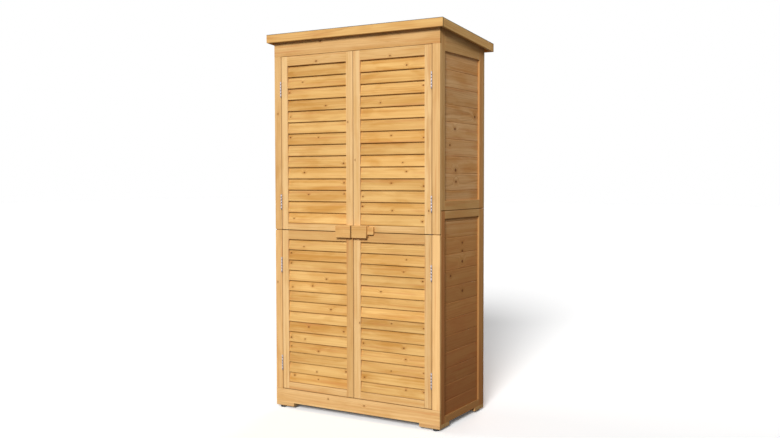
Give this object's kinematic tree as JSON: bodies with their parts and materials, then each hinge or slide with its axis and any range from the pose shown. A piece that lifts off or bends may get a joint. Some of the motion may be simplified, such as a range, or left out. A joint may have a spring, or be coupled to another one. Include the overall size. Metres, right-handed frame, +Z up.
{
  "type": "garden storage cabinet",
  "caption": "Tall timber garden storage cabinet with louvred double doors, matched-board sides and back, shelves, a sliding wooden latch and a sloping felted roof.",
  "frame": {"origin": "on the ground, under the middle of the roof", "axes": "+X to the right as seen from the front, +Y to the back, +Z up; the doors face -Y"},
  "size_m": [0.842, 0.472, 1.6],
  "materials": {
    "door_frame": "planed fir, honey stain",
    "door_slats": "planed fir with small knots, honey stain",
    "frame_timber": "planed fir, honey stain",
    "glide_plastic": "black moulded",
    "hinge_steel": "zinc plated",
    "inner_timber": "planed fir",
    "latch_timber": "planed hardwood, honey stain",
    "roof_felt": "grey mineral-surfaced bitumen felt",
    "roof_timber": "planed fir, honey stain",
    "screw_steel": "zinc plated",
    "steel_plate": "zinc plated",
    "wall_boards": "matched fir boards with knots, honey stain"
  },
  "bodies": {
    "carcass": {"back_boards_lower": "wall_boards", "back_boards_upper": "wall_boards", "back_rails": "frame_timber", "back_stiles": "frame_timber", "bottom_board": "frame_timber", "door_stop_strip": "inner_timber", "floor_bearers": "inner_timber", "floor_boards": "inner_timber", "foot_blocks": "frame_timber", "foot_glides": "glide_plastic", "frieze_board": "frame_timber", "front_post_lower_left": "frame_timber", "front_post_lower_right": "frame_timber", "front_post_upper_left": "frame_timber", "front_post_upper_right": "frame_timber", "head_rail": "inner_timber", "hinge_pins": "hinge_steel", "hinge_post_leaves": "hinge_steel", "post_screws": "screw_steel", "roof_bearers": "roof_timber", "roof_deck_boards": "roof_timber", "roof_fascia_front": "roof_timber", "roof_fascia_left": "roof_timber", "roof_fascia_rear": "roof_timber", "roof_fascia_right": "roof_timber", "roof_felt": "roof_felt", "shelf_cleats": "inner_timber", "shelf_lower": "inner_timber", "shelf_upper": "inner_timber", "side_boards_lower_left": "wall_boards", "side_boards_lower_right": "wall_boards", "side_boards_upper_left": "wall_boards", "side_boards_upper_right": "wall_boards", "side_rails_lower_left": "frame_timber", "side_rails_lower_right": "frame_timber", "side_rails_upper_left": "frame_timber", "side_rails_upper_right": "frame_timber", "side_stiles_left": "frame_timber", "side_stiles_right": "frame_timber"},
    "left_door": {"door_left_lower_rails": "door_frame", "door_left_lower_slats": "door_slats", "door_left_lower_stiles": "door_frame", "door_left_splice_plates": "steel_plate", "door_left_upper_rails": "door_frame", "door_left_upper_slats": "door_slats", "door_left_upper_stiles": "door_frame", "door_screws_left": "screw_steel", "hinge_door_leaves_left": "hinge_steel", "latch_keeper_block": "latch_timber"},
    "right_door": {"door_right_lower_rails": "door_frame", "door_right_lower_slats": "door_slats", "door_right_lower_stiles": "door_frame", "door_right_splice_plates": "steel_plate", "door_right_upper_rails": "door_frame", "door_right_upper_slats": "door_slats", "door_right_upper_stiles": "door_frame", "door_screws_right": "screw_steel", "hinge_door_leaves_right": "hinge_steel", "latch_guide_block": "latch_timber"},
    "latch_slider": {"latch_bar": "latch_timber"}
  },
  "joints": [
    {"name": "left_door_hinge", "type": "hinge", "parent": "carcass", "child": "left_door", "pos_m": [-0.3625, -0.2154, 0.8], "axis": [0, 0, -1], "range_deg": [0, 175]},
    {"name": "right_door_hinge", "type": "hinge", "parent": "carcass", "child": "right_door", "pos_m": [0.3625, -0.2154, 0.8], "axis": [0, 0, 1], "range_deg": [0, 175]},
    {"name": "latch_slide", "type": "slide", "parent": "right_door", "child": "latch_slider", "axis": [-1, 0, 0], "range_m": [0, 0.03]}
  ]
}
